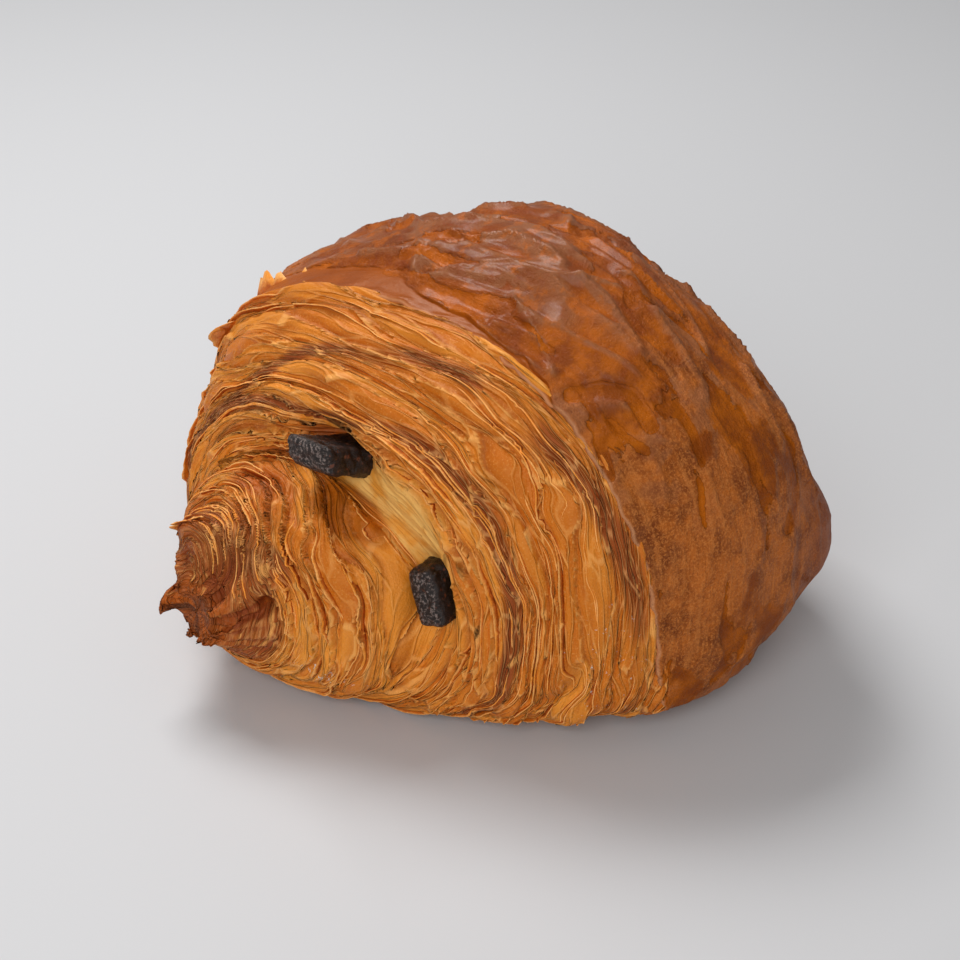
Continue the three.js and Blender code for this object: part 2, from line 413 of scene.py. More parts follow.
def unit(vectors):
    return vectors / np.maximum(np.linalg.norm(vectors, axis=-1, keepdims=True), 1e-9)


class Skin:
    """A grid of points over the roll, with what its colour needs at each point."""

    # Names of the arrays that the material reads, besides the direction round the roll.
    KEPT = ()

    def __init__(self, place, turn):
        noise = Noise(SEEDS["form"])
        self.place, self.turn = place, turn
        self.form = roll_points(place, turn, noise)
        onward = roll_points(place + 0.02, turn, noise) - roll_points(place - 0.02, turn, noise)
        ring = roll_points(place, turn + 0.4, noise) - roll_points(place, turn - 0.4, noise)
        self.onward = unit(onward)
        self.normal = unit(np.cross(ring, onward))
        half_width = np.interp(place, np.arange(LAST_PLACE + 1), SECTIONS[:, 3])
        girth = np.clip(half_width / FULL_GIRTH, 0.12, 1)
        self.rounds = np.cos(np.radians(turn)) * girth, np.sin(np.radians(turn)) * girth
        self.reach_table = travel(noise)
        self.reach = np.interp(place, *self.reach_table)

    def kept(self):
        """What the material reads at each point, by name."""
        values = {name: getattr(self, name) for name in self.KEPT}
        values["round_cos"], values["round_sin"] = self.rounds
        return values

    def settle(self, lift, curl=0):
        """Moves the form out by lift and onward by curl, less near the table, never below it."""
        calm = 0.25 + 0.75 * smooth(self.form[..., 2], 0.5, 5.0)
        points = self.form + self.normal * ((lift + self.broad_bumps()) * calm)[..., None]
        points = points + self.onward * np.broadcast_to(curl, lift.shape)[..., None]
        points[..., 2] = np.maximum(points[..., 2], 0)
        return points

    def broad_bumps(self):
        """Slow swellings of the whole form."""
        cos, sin = self.rounds
        swell = Noise(SEEDS["swell"])
        slow = 0.7 * swell(self.reach / 26, cos * 1.3, sin * 1.3)
        slow = slow + 0.5 * swell(self.reach / 12 + 3, cos * 2.6, sin * 2.6)
        slow = slow * smooth(self.place, 2.0, 6.0)
        for place, turn, along, around, height in SWELLINGS:
            spread = bell(self.place, place, along) * turn_bell(self.turn, turn, around)
            slow = slow + height * spread
        return slow

    def run_distance(self, run):
        """Distance in millimetres from every point of the form to a run of (place, turn) points."""
        places, turns = np.array(run, float).T
        ends = np.arange(len(run))
        fine = np.linspace(0, len(run) - 1, 12 * (len(run) - 1) + 1)
        bead_places, bead_turns = np.interp(fine, ends, places), np.interp(fine, ends, turns)
        beads = roll_points(bead_places, bead_turns, Noise(SEEDS["form"]))
        away = np.full(self.place.shape, np.inf)
        for bead in beads:
            away = np.minimum(away, np.linalg.norm(self.form - bead, axis=2))
        return away

    def along_table(self, table):
        """The value of a (turn, value) table at every point."""
        turns, values = np.array(table, float).T
        return np.interp(self.turn, turns, values)


class Dough(Skin):
    """The layered ends, the fold, the nose, and the dough that lies under the crust."""

    KEPT = (
        "layer", "tight", "film", "lip", "gap", "tone", "pale", "burnt", "amber", "flour", "stub", "twist",
    )

    def __init__(self, sizes):
        noise = Noise(SEEDS["form"])
        places = even_places(noise, DOUGH_GRID["rows"])
        turns = even_turns(noise, DOUGH_GRID["columns"], DOUGH_GRID["under"])
        super().__init__(*np.meshgrid(places, turns, indexing="ij"))
        self.masks()
        self.points = self.settle(self.end_layers(sizes), self.curl)

    def masks(self):
        """Where the crust covers the dough, where it stayed pale, is glazed or floured, is burnt or darker
        near the table, and where shade is painted.
        """
        place, turn = self.place, self.turn
        cos, sin = self.rounds
        noise = Noise(SEEDS["form"])
        front = place - self.along_table(WRAP_FRONT)
        self.covered = smooth(np.minimum(front * 9.0, (WRAP_TAIL - place) * 9.0), 0.4, 1.6)
        beyond = place - crease_place(turn)
        width = 0.5 + 0.55 * turn_bell(turn, 126, 24)
        pale = smooth(beyond, -0.08, 0.02) * (1 - smooth(beyond, width * 0.6, width * 1.15))
        self.pale = pale * fold_window(turn, 132, 42)
        burnt = 1 - smooth(place + 0.6 * noise(cos * 12, sin * 12, place), 0.4, 1.9)
        chunk = 0.8 * bell(place, 2.7, 0.4) * turn_bell(turn, 52, 22)
        # The coil's edge by the crease is partly scorched and partly painted shade of the crease.
        coil_lip = np.maximum(bell(beyond, -0.4, 0.3), bell(beyond, 0, 0.14))
        coil_edge_burn_and_shade = turn_bell(turn, 80, 24) * coil_lip
        glazed_coil = 1.2 * bell(beyond, -0.14, 0.17) * turn_bell(turn, 118, 17)
        glazed_wrap = 0.34 * bell(front, -0.2, 0.35) * turn_bell(turn, 70, 50)
        self.amber = np.maximum(glazed_coil, glazed_wrap)
        floured_foot = bell(place, 3.3, 0.5) * turn_bell(turn, 215, 12)
        floured_wrap = 0.5 * bell(place, 6.7, 0.7) * turn_bell(turn, 195, 20)
        self.flour = np.maximum(floured_foot, floured_wrap)
        # Darker within a few millimetres of the table.
        foot = 0.75 * (1 - smooth(self.form[..., 2], 0.2, 3.5))
        # Painted shade in the pocket over the upper baton.
        pocket_shade = 1.5 * turn_bell(turn, 95, 14) * bell(beyond, 0.5, 0.34)
        # Painted shade in the small pit by the nose.
        pit_shade = 1.3 * bell(place, 2.28, 0.12) * turn_bell(turn, 163, 6)
        singed = 0.62 * turn_bell(turn, 88, 28) * bell(place, 3.3, 0.75)
        # The burnt mask also carries painted shade: the pocket over the upper baton, the pit by the nose
        # and the coil's crease.
        self.burnt = np.max([burnt, chunk, 0.8 * coil_edge_burn_and_shade, foot, 0.8 * pocket_shade, pit_shade, singed], axis=0)

    def part_layers(self, layer):
        """Spreads the layers round each film, so that they crowd beside it. Returns films too."""
        film = np.zeros_like(self.place)
        bulge = np.zeros_like(self.place)
        for place, turn, length, width in FILMS:
            off = (self.reach - np.interp(place, *self.reach_table)) / (1.15 * width)
            span = turn_bell(self.turn, turn, length)
            layer = layer - 0.82 * width * off * np.exp(-off * off / 2) * span
            film = np.maximum(film, span * bell(off, 0, 1.0))
            bulge = np.maximum(bulge, span * bell(off, 0, 0.8))
        return layer, film, bulge

    def tightness(self, clump):
        """1 where the layers stay close together, 0 where they part."""
        cos, sin = self.rounds
        tight = 0.4 * smooth(clump(self.reach / 5, cos * 1.4, sin * 1.4), 0.1, 0.45)
        for band in TIGHT_BANDS:
            tight = np.maximum(tight, bell(self.place, self.along_table(band), 0.2))
        hair = 1 - smooth(self.place + 0.2 * clump(cos * 5, sin * 5, 0.5), 2.9, 3.5)
        hair = hair * (1 - 0.8 * smooth(self.turn, 135, 165) * smooth(self.place, 2.4, 2.8))
        return np.maximum(tight, 0.85 * hair)

    def end_layers(self, sizes):
        """Edges of the dough's layers, standing up from the two cut ends like shingles."""
        cos, sin = self.rounds
        reach = self.reach
        warp, clump, split = (Noise(SEEDS[name]) for name in ("warp", "clump", "split"))
        bend = 1.7 * warp(reach / 12, cos * 1.2, sin * 1.2)
        bend = bend + 0.8 * warp(reach / 5 + 9, cos * 3.2, sin * 3.2)
        bend = bend + 0.25 * warp(reach / 2.4 + 5, cos * 8, sin * 8)
        crease = crease_place(self.turn)
        on_coil = 1 - smooth(self.place, crease - 0.12, crease + 0.02)
        fan = 13 * smooth(turn_gap(self.turn, 138), 0, -80)
        fan = fan * (1 - smooth(turn_gap(self.turn, 20), 0, -60))
        layer, film, bulge = self.part_layers(reach + bend - fan * on_coil)
        self.layer = layer
        self.film = film
        tight = self.tightness(clump) * (1 - 0.9 * film)
        self.tight = tight
        sheets = Cells(SEEDS["sheets"])
        border, off, self.tone = sheets(layer / (sizes.layer_step / MM), cos * 1.6, sin * 1.6)
        pillow = smooth(border, 0.0, 0.3)
        self.lip = bell(border, 0, 0.045) * smooth(off, -0.02, 0.12)
        # Painted shade in the recess beside each layer's lip.
        self.gap = bell(border, 0, 0.1) * smooth(off, 0.02, -0.15)
        lift = sizes.layer_height / MM * (0.7 * pillow + 1.0 * off + 0.45 * self.lip)
        lift = lift * (1 - 0.5 * tight) * (1 - 0.5 * film)
        border, off, _ = Cells(SEEDS["leaves"])(layer / 1.3, cos * 2.7, sin * 2.7)
        leaves = smooth(border, 0, 0.25) + 0.9 * off
        lift = lift + (0.2 + 0.2 * tight) * leaves * (1 - 0.7 * film)
        lift = lift + 1.0 * bulge + 0.7 * warp(reach / 8 + 20, cos * 2.2, sin * 2.2)
        lift = lift + 0.3 * split(reach / 3.5 + 2, cos * 5, sin * 5) * (1 - tight)
        lift = lift + 0.12 * split(reach / 1.5, cos * 12, sin * 12)
        stub = 1 - smooth(self.place, 2.0, 2.8)
        angle = np.radians(self.turn + 25 * self.place)
        twist = split(np.cos(angle) * 1.9, np.sin(angle) * 1.9, self.place * 0.5)
        fibre = split(np.cos(angle) * 6.5, np.sin(angle) * 6.5, self.place * 0.5 + 7)
        self.stub = stub
        self.twist = twist + 0.6 * fibre
        pulled = stub * smooth(self.place, 0.5, 1.1) * (1.5 * twist + 0.6 * fibre - 0.3)
        lift = lift * (1 - 0.6 * stub) + pulled
        calm = (1 - self.covered) * (1 - 0.85 * self.pale) * smooth(self.place, 0.4, 1.0)
        calm = calm * (1 - smooth(self.place, 15.3, 15.8))
        self.curl = -0.4 * self.lip * calm
        return lift * calm - 1.5 * self.covered - 0.5 * (1 - self.covered)


class Crust(Skin):
    """The outer sheet of the wrap: a shell with a torn front edge, its ends tucked into the dough."""

    KEPT = ("torn", "gloss", "ridge", "tone", "band", "front", "reach", "dark")

    # Rows tucked in at the front edge, and again at the tail edge: places in from the edge, and depth.
    TUCK = (
        (1.3, -12.0), (0.9, -7.0), (0.45, -3.0), (0.15, -1.2), (0.04, -0.9), (0.0, -0.6),
        (-0.005, -0.35),
    )

    def __init__(self, sizes):
        noise = Noise(SEEDS["form"])
        turns = even_turns(noise, CRUST_GRID["columns"], CRUST_GRID["under"])
        cos, sin = np.cos(np.radians(turns)), np.sin(np.radians(turns))
        ragged = 0.05 * noise(cos * 6, sin * 6, 2.2) + 0.035 * noise(cos * 19, sin * 19, 7.7)
        front = np.interp(turns, *np.array(WRAP_FRONT, float).T) + ragged
        tail = np.full_like(turns, WRAP_TAIL) + 3 * ragged
        tuck = len(self.TUCK)
        steps = np.linspace(0, 1, CRUST_GRID["rows"] + 1 - 2 * tuck) ** 1.25
        rows = [front + past for past, _ in self.TUCK]
        rows += [front + 0.012 + (tail - front - 0.03) * step for step in steps]
        rows += [tail - past for past, _ in reversed(self.TUCK)]
        place = np.array(rows)
        super().__init__(place, np.broadcast_to(turns, place.shape).copy())
        self.front = self.place - front
        self.tail = tail - self.place
        lift = self.wrinkles(sizes)
        for row, (_, depth) in enumerate(self.TUCK):
            fade = np.clip(depth, -1, 1)
            lift[row] = depth + 0.3 * (1 + fade) * lift[tuck]
            lift[-1 - row] = depth
        self.points = self.settle(lift)
        self.points[0] = self.points[1].mean(0)
        self.points[-1] = self.points[-2].mean(0)

    def wrinkles(self, sizes):
        """Wrinkles that run round the roll, hollows between them, and skin torn off in patches."""
        cos, sin = self.rounds
        reach = self.reach
        folds, blister, tear = (Noise(SEEDS[name]) for name in ("folds", "blister", "tear"))
        top = turn_bell(self.turn, 84, 50)
        rough = 0.22 + 0.78 * top
        bend_x = 1.3 * folds(reach / 7, cos * 3, sin * 3)
        bend_y = 0.25 * folds(reach / 9 + 4, cos * 2, sin * 2 + 5)
        slant = reach + 6 * cos + bend_x
        plates = Cells(SEEDS["plates"])
        border, off, self.tone = plates(slant / 6.4, (cos + bend_y) * 3.0, sin * 3.0)
        kept = smooth(folds(reach / 6 + 9, cos * 4, sin * 4), -0.45, 0.25)
        crease = kept * np.exp(-((border / 0.1) ** 1.25))
        lift = rough * (1.5 * crease + 2.0 * off * smooth(border, 0, 0.3))
        lift = lift + 0.8 * rough * blister(reach / 6, cos * 4, sin * 4)
        crinkles = Cells(SEEDS["crinkles"])
        small, _, _ = crinkles(slant / 3.4, (cos + bend_y) * 5.5, (sin - bend_y) * 5.5)
        spread = smooth(folds(reach / 5, cos * 5 + 3, sin * 5), -0.2, 0.35)
        lift = lift + 0.5 * rough * spread * np.exp(-((small / 0.15) ** 1.2))
        lift = lift + 0.07 * blister(reach / 1.6, cos * 15, sin * 15)
        ridge = np.zeros_like(reach)
        for run, height, width in WRINKLES:
            away = self.run_distance(run) + 0.5 * blister(reach / 3, cos * 7, sin * 7)
            ridge = np.maximum(ridge, 1.3 * height * np.exp(-np.abs(away / (0.62 * width)) ** 1.1))
        lift = lift + ridge
        fine = 0.6 * rough * spread * np.exp(-small / 0.1)
        self.ridge = np.clip(np.max([crease * rough, ridge, fine], axis=0), 0, 1)
        field = tear(slant / 5.5, cos * 3, sin * 3) + 0.4 * tear(slant / 2.4, cos * 7, sin * 7)
        self.torn = 1.6 * (field + 0.52 - 0.3 * rough)
        for run, width in TEARS:
            self.torn = np.minimum(self.torn, self.run_distance(run) / width - 1)
        bared = (self.place - self.along_table(BARED_BAND)) * 9
        bared = bared + 0.7 * tear(reach / 2, cos * 9, sin * 9) + 0.5 * tear(reach / 5, cos * 4, sin * 4)
        self.band = 1 - smooth(bared, -0.2, 0.2)
        self.torn = np.minimum(self.torn, bared)
        bare = 1 - smooth(self.torn, -0.06, 0.12)
        self.gloss = rough
        self.dark = bell(self.place, 10.7, 0.9) * turn_bell(self.turn, 183, 17)
        lift = lift * (1 - 0.75 * self.band) * smooth(self.tail, 0, 0.6)
        rim = 0.7 * bell(self.front, 0.05, 0.07) * (0.6 + blister(cos * 7, sin * 7, 3.0))
        return -0.2 + sizes.wrinkle_height * lift - 0.4 * bare + rim


class Lips:
    """Thin edges of single layers, standing up from the layered ends as fine curled ribbons."""

    # Corners of a ribbon's section, from one foot over the edge to the other: height and half thickness.
    SECTION = ((-0.5, 0.2), (0.55, 0.13), (1.0, 0.07), (1.0, -0.07), (0.55, -0.13), (-0.5, -0.2))

    def __init__(self, dough, count):
        draw = np.random.default_rng(SEEDS["ribbons"])
        self.dough = dough
        self.ragged = Noise(SEEDS["ragged"])
        self.level = np.maximum.accumulate(dough.layer, axis=0)
        self.ribbons = []
        rows, columns = dough.place.shape
        shown = np.flatnonzero((dough.turn[0] > 2) & (dough.turn[0] < 228))
        while len(self.ribbons) < count:
            place = draw.uniform(2.5, 7.0) if draw.uniform() < 0.9 else draw.uniform(12.6, 15.0)
            start = draw.choice(shown)
            length = int(draw.uniform(18, 80) * (0.4 + 0.6 * min(place, 7) / 7))
            column = np.arange(start, start + length)
            if column[-1] >= columns:
                continue
            row = int(np.interp(place, dough.place[:, 0], np.arange(rows)))
            hidden = dough.pale[row, start] > 0.3 or dough.covered[row, start] > 0.3
            if hidden or dough.film[row, start + length // 2] > 0.35:
                continue
            tall = draw.uniform(0.3, 0.8) * (1 - 0.45 * dough.tight[row, start])
            lean = draw.uniform(-0.8, -0.1)
            level = self.level[row, start]
            made = self.ribbon(column, level, tall, lean, draw, RIBBONS["raggedness"])
            self.ribbons.append(made)
        for place, first, last, tall, lean, raggedness in FLAKES:
            column = np.flatnonzero((dough.turn[0] > first) & (dough.turn[0] < last))
            row = int(np.interp(place, dough.place[:, 0], np.arange(rows)))
            level = self.level[row, column[len(column) // 2]]
            self.ribbons.append(self.ribbon(column, level, tall, lean, draw, raggedness))

    def ribbon(self, column, level, tall, lean, draw, raggedness):
        """Rings of points round one layer's edge, and how high up the edge each point is."""
        dough = self.dough
        rows = np.arange(len(self.level))
        at = np.array([np.interp(level, self.level[:, c], rows) for c in column])
        low = np.clip(np.floor(at).astype(int), 0, len(rows) - 2)
        part = (at - low)[:, None]
        base = dough.points[low, column] * (1 - part) + dough.points[low + 1, column] * part
        out, onward = dough.normal[low, column], dough.onward[low, column]
        gone = np.linspace(0, 1, len(column))
        seed = draw.uniform(0, 50)
        fine = self.ragged(gone * len(column) / 2.1, seed, 0)
        slow = self.ragged(gone * len(column) / 9, seed, 5)
        uneven = np.maximum(0.85 + raggedness * fine + 0.4 * slow, 0.05)
        height = tall * np.sin(np.pi * gone) ** 0.6 * uneven * (1 - dough.pale[low, column])
        lean = lean + 0.3 * slow
        rings = []
        for up, thick in self.SECTION:
            rise = np.where(up < 0, -0.5, up * height - 0.05)
            shift = thick * np.minimum(1, 4 * np.sin(np.pi * gone)) + lean * height * max(up, 0) ** 2
            rings.append(base + out * rise[:, None] + onward * shift[:, None])
        rings = np.stack(rings, 1)
        rings[..., 2] = np.maximum(rings[..., 2], 0)
        ends = rings[0].mean(0), rings[-1].mean(0)
        return rings, ends


# ---------------------------------------------------------------- mesh helpers

def clear_selection():
    if bpy.context.mode != "OBJECT":
        bpy.ops.object.mode_set(mode="OBJECT")
    bpy.ops.object.select_all(action="DESELECT")


def write_points(mesh, points):
    mesh.vertices.foreach_set("co", np.asarray(points, np.float32).ravel())
    mesh.update()


def read_points(mesh):
    points = np.empty(len(mesh.vertices) * 3, np.float32)
    mesh.vertices.foreach_get("co", points)
    return points.reshape(-1, 3).astype(float)


def store(mesh, name, values):
    """Keeps one number for each vertex, for a material to read."""
    kept = mesh.attributes.new(name, "FLOAT", "POINT")
    kept.data.foreach_set("value", np.asarray(values, np.float32).ravel())


def finish_piece(piece, name, material, node):
    """Names a piece, smooths it, gives it its material and ties it to the frame."""
    piece.name = name
    piece.data.name = name
    piece.data.materials.clear()
    piece.data.materials.append(material)
    piece.data.polygons.foreach_set("use_smooth", [True] * len(piece.data.polygons))
    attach(piece, "root")
    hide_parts(node)
    clear_selection()


def closed_grid(points, kept):
    """A sphere's closed grid, its rings laid on the rows of a grid of points in millimetres.

    The first and last row are one point each. kept holds the numbers stored for the material.
    """
    rows, columns = points.shape[0] - 1, points.shape[1]
    clear_selection()
    bpy.ops.mesh.primitive_uv_sphere_add(segments=columns, ring_count=rows, radius=1.0)
    piece = bpy.context.object
    ball = read_points(piece.data)
    row = np.rint(np.arccos(np.clip(-ball[:, 2], -1, 1)) / math.pi * rows).astype(int)
    column = np.rint(np.arctan2(ball[:, 1], ball[:, 0]) / (2 * math.pi) * columns).astype(int) % columns
    write_points(piece.data, points[row, column] * MM)
    piece.data.uv_layers[0].name = "OFBake"
    for name, values in kept.items():
        store(piece.data, name, values[row, column])
    return piece


def joined(pieces):
    clear_selection()
    for piece in pieces:
        piece.select_set(True)
    bpy.context.view_layer.objects.active = pieces[0]
    bpy.ops.object.join()
    return pieces[0]


def lips_piece(lips):
    """All the ribbons as one piece, each a closed six-sided tube, joined a few at a time."""
    made = []
    for rings, ends in lips.ribbons:
        first, last = (np.repeat(end[None, None], len(lips.SECTION), 1) for end in ends)
        points = np.concatenate([first, rings, last])
        rise = np.zeros(points.shape[:2])
        rise[1:-1] = (0, 0.55, 1, 1, 0.55, 0)
        made.append(closed_grid(points, {"rise": rise}))
        if len(made) == RIBBON_BATCH:
            made = [joined(made)]
    return joined(made)


def baton_piece(place, noise):
    """One baton: a block whose corners are rounded, whose faces are pitted, bent where it lifts."""
    clear_selection()
    bpy.ops.mesh.primitive_cube_add(size=1.0)
    block = bpy.context.object
    block.scale = (BATON["length"] * MM, BATON["width"] * MM, BATON["thickness"] * MM)
    bpy.ops.object.transform_apply(location=False, rotation=False, scale=True)
    rounding = block.modifiers.new("rounding", "BEVEL")
    rounding.width = BATON["rounding"] * MM
    rounding.segments = 4
    bpy.ops.object.modifier_apply(modifier=rounding.name)
    remesh = block.modifiers.new("grain", "REMESH")
    remesh.mode = "VOXEL"
    remesh.voxel_size = BATON["grain"] * MM
    bpy.ops.object.modifier_apply(modifier=remesh.name)
    points = read_points(block.data) / MM
    x, y, z = points.T
    end = smooth(np.abs(x), BATON["length"] / 2 - 0.9, BATON["length"] / 2 - 0.3)
    pits = noise(x / 1.6, y / 1.6, z / 1.6)
    grain = noise(x / 0.7 + 5, y / 0.7, z / 0.7)
    sag = noise(x / 6 + 2, y / 6, z / 6)
    normal = np.empty(len(points) * 3, np.float32)
    block.data.vertices.foreach_get("normal", normal)
    lift = 0.35 * sag + 0.45 * np.minimum(pits, 0.1) + 0.1 * grain - 0.1
    points = points + normal.reshape(-1, 3) * lift[:, None]
    write_points(block.data, settle_baton(points, place) * MM)
    store(block.data, "end", end)
    return block


def settle_baton(points, place):
    """Turns a bar along X into its place in the roll, and lifts its front."""
    tip = np.array(place["tip"], float)
    along = np.array(place["tail"], float) - tip
    along = along / np.linalg.norm(along)
    across = np.cross((0, 0, 1), along)
    across = across / np.linalg.norm(across)
    above = np.cross(along, across)
    roll = math.radians(place["roll"])
    wide = points[:, 1] * math.cos(roll) - points[:, 2] * math.sin(roll)
    tall = points[:, 1] * math.sin(roll) + points[:, 2] * math.cos(roll)
    middle = tip + along * BATON["length"] / 2
    placed = middle + np.outer(points[:, 0], along) + np.outer(wide, across) + np.outer(tall, above)
    bent = np.maximum(0, tip[0] + LIFT_LENGTH - placed[:, 0]) / LIFT_LENGTH
    placed[:, 2] += place["lift"] * bent**2
    return placed


# ---------------------------------------------------------------- shader writing

class Wire:
    """A value socket that can be used in sums. Numbers and sockets mix freely."""

    def __init__(self, paint, socket):
        self.paint = paint
        self.socket = socket

    def maths(self, operation, *others):
        return self.paint.node("ShaderNodeMath", {"operation": operation}, [self, *others])

    def __add__(self, other):
        return self.maths("ADD", other)

    __radd__ = __add__

    def __mul__(self, other):
        return self.maths("MULTIPLY", other)

    __rmul__ = __mul__

    def __sub__(self, other):
        return self.maths("SUBTRACT", other)

    def __rsub__(self, other):
        return self.paint.node("ShaderNodeMath", {"operation": "SUBTRACT"}, [other, self])

    def above(self, low, high):
        """A smooth step from 0 at low to 1 at high."""
        return self.paint.node("ShaderNodeMapRange", {"interpolation_type": "SMOOTHSTEP"},
                               [self, low, high, 0.0, 1.0])


class Paint:
    """One material being written."""

    def __init__(self, name, colours):
        self.colours = colours
        self.material = bpy.data.materials.new(name)
        self.material.use_nodes = True
        self.tree = self.material.node_tree
        self.shader = self.tree.nodes["Principled BSDF"]

    def node(self, kind, settings=None, values=(), out=0):
        """Adds a node: settings first, then the values or links of its sockets, by order or name."""
        made = self.tree.nodes.new(kind)
        for key, setting in (settings or {}).items():
            setattr(made, key, setting)
        pairs = values.items() if isinstance(values, dict) else enumerate(values)
        for key, value in pairs:
            self.feed(made.inputs[key], value)
        return Wire(self, made.outputs[out])

    def feed(self, socket, value):
        """Links a wire to a socket, or sets the socket to a number or to a colour by its name."""
        if isinstance(value, Wire):
            self.tree.links.new(value.socket, socket)
        elif isinstance(value, str):
            socket.default_value = (*getattr(self.colours, value), 1.0)
        else:
            socket.default_value = value

    def read(self, *names):
        """Numbers kept on the piece's vertices."""
        return [self.node("ShaderNodeAttribute", {"attribute_name": name}, out="Fac") for name in names]

    def place(self):
        """Where the point is on the object, in millimetres."""
        spot = self.node("ShaderNodeTexCoord", out="Object")
        return self.node("ShaderNodeVectorMath", {"operation": "SCALE"}, {0: spot, "Scale": 1 / MM})

    def vector(self, x, y, z):
        return self.node("ShaderNodeCombineXYZ", None, [x, y, z])

    def noise(self, vector, scale, detail=2.0, roughness=0.5):
        values = {"Vector": vector, "Scale": scale, "Detail": detail, "Roughness": roughness}
        return self.node("ShaderNodeTexNoise", None, values)

    def cells(self, vector, scale):
        """Distance to the nearest of many scattered points."""
        return self.node("ShaderNodeTexVoronoi", None, {"Vector": vector, "Scale": scale})

    def border(self, vector):
        """Distance to the nearest border between cells grown round scattered points."""
        settings = {"feature": "DISTANCE_TO_EDGE"}
        return self.node("ShaderNodeTexVoronoi", settings, {"Vector": vector, "Scale": 1.0})

    def mix(self, factor, first, second):
        """first where factor is 0, second where it is 1."""
        settings = {"data_type": "RGBA", "clamp_factor": True}
        return self.node("ShaderNodeMix", settings, {0: factor, 6: first, 7: second}, out=2)

    def coats(self, colour, *coats):
        """Lays coats over a colour in turn, each a mask and the colour that it brings."""
        for mask, over in coats:
            colour = self.mix(mask, colour, over)
        return colour

    def bump(self, height, depth):
        """Relief as deep as the given millimetres."""
        return self.node("ShaderNodeBump", None, {"Height": height, "Distance": depth * MM})

    def set(self, **values):
        """Feeds the shader's own sockets, by their names with _ for a space."""
        for key, value in values.items():
            self.feed(self.shader.inputs[key.replace("_", " ")], value)


# ---------------------------------------------------------------- materials

def dough_material(colours):
    """Layered ends, pale fold and burnt nose."""
    paint = Paint("layered_dough", colours)
    spot = paint.place()
    layer, tight, parted, lip, gap, tone = paint.read("layer", "tight", "film", "lip", "gap", "tone")
    pale, burnt, amber, flour = paint.read("pale", "burnt", "amber", "flour")
    stub, twist, cos, sin = paint.read("stub", "twist", "round_cos", "round_sin")

    # Threads: long cells that follow the layers. Their borders are the edges of single layers.
    bend = paint.noise(paint.vector(layer * 0.5, cos * 3.0, sin * 3.0), 1.0, 3.0) - 0.5
    strand = paint.border(paint.vector(layer * 0.8 + bend * 1.2, cos * 2.6, sin * 2.6))
    hair = paint.border(paint.vector(layer * 1.9 + bend * 2.0, cos * 4.5, sin * 4.5))
    shade = paint.noise(paint.vector(layer * 0.9, cos * 3.0, sin * 3.0), 1.0, 3.0, 0.6)
    grain = paint.noise(spot, 2.4, 3.0, 0.65)
    bubble = paint.cells(spot, 2.1)
    dots = bubble.above(0.4, 0.1) * (grain + parted * 0.1).above(0.45, 0.65)

    # Thin layers seen from the side, lighter or darker one by one, with painted shade beside each layer's
    # lip, blistered and glazed where they part.
    film = paint.mix((tone * 0.7 + shade * 0.6).above(0.3, 0.95), "film_dark", "film_light")
    film = paint.coats(
        film,
        (shade.above(0.46, 0.34) * 0.4, "layer_rust"),
        (gap * 0.5, "layer_baked"),
        (grain.above(0.5, 0.7) * 0.28, "layer_edge"),
        (dots * 0.45, "layer_edge"),
        (parted * 0.45, "glaze"),
    )

    # Tight layers bake brown between pale, dry edges.
    brown = (tight * 0.9 + (shade - 0.5) * 1.3).above(0.4, 0.8)
    crest = paint.mix(tight * 0.6, "layer_edge", "layer_rose")
    calm = (1.0 - 0.8 * parted) * (1.0 - 0.45 * stub)
    ends = paint.mix(brown * 0.75, film, "layer_rust")
    ends = paint.coats(
        ends,
        (tight.above(0.45, 0.95) * (0.3 + shade * 0.8), "layer_baked"),
        (hair.above(0.16, 0.34) * tight * 0.5, "layer_baked"),
        (hair.above(0.07, 0.0) * (0.12 + 0.6 * tight) * calm, crest),
        (strand.above(0.055, 0.01) * 0.7 * calm, crest),
        (lip.above(0.4, 0.9) * 0.7, "layer_edge"),
    )

    # The inside of the fold stays pale, and its lip is glazed. The nose and the coil's edge scorch; the
    # same dark is painted shade in the pocket, the pit and the crease.
    cream = paint.mix(paint.noise(spot, 0.25, 3.0).above(0.42, 0.66), "cream", "cream_dark")
    ends = paint.mix(pale.above(0.1, 0.8) * (0.75 + 0.25 * shade), ends, cream)
    glaze = paint.mix(shade.above(0.35, 0.65), "glaze_dark", "glaze")
    ends = paint.mix(amber.above(0.1, 0.6) * 0.9, ends, glaze)
    ends = paint.mix(stub * (twist * 0.7 + shade).above(0.55, 0.2), ends, "layer_baked")
    scorch = paint.mix(burnt.above(0.45, 1.0) * (0.4 - twist * 0.9), "layer_rust", "burnt")
    scorch = paint.mix(grain.above(0.56, 0.66) * 0.6, scorch, "layer_rose")
    # This scorch also paints shade in the pocket over the upper baton, the pit by the nose and the coil's
    # crease.
    ends = paint.mix((burnt * (0.5 + shade)).above(0.2, 0.8), ends, scorch)

    # Specks of flour, then the relief of edges and threads.
    powder = paint.noise(spot, 0.9, 5.0, 0.75)
    ends = paint.mix((powder + flour * 0.14).above(0.69, 0.72) * flour.above(0.05, 0.3), ends, "flour")
    fine = hair.above(0.25, 0.0) * (0.18 + 0.65 * tight) + strand.above(0.12, 0.0) * 0.8
    height = (fine * calm + grain * 0.35 + shade * 0.5) * (1.0 - 0.75 * pale)
    rough = 0.3 + 0.26 * grain + 0.14 * tight
    paint.set(Base_Color=ends, Roughness=rough, Normal=paint.bump(height, RELIEF["dough"]), IOR=DOUGH_IOR,
              Specular_Tint=WARM_SHINE)
    return paint.material


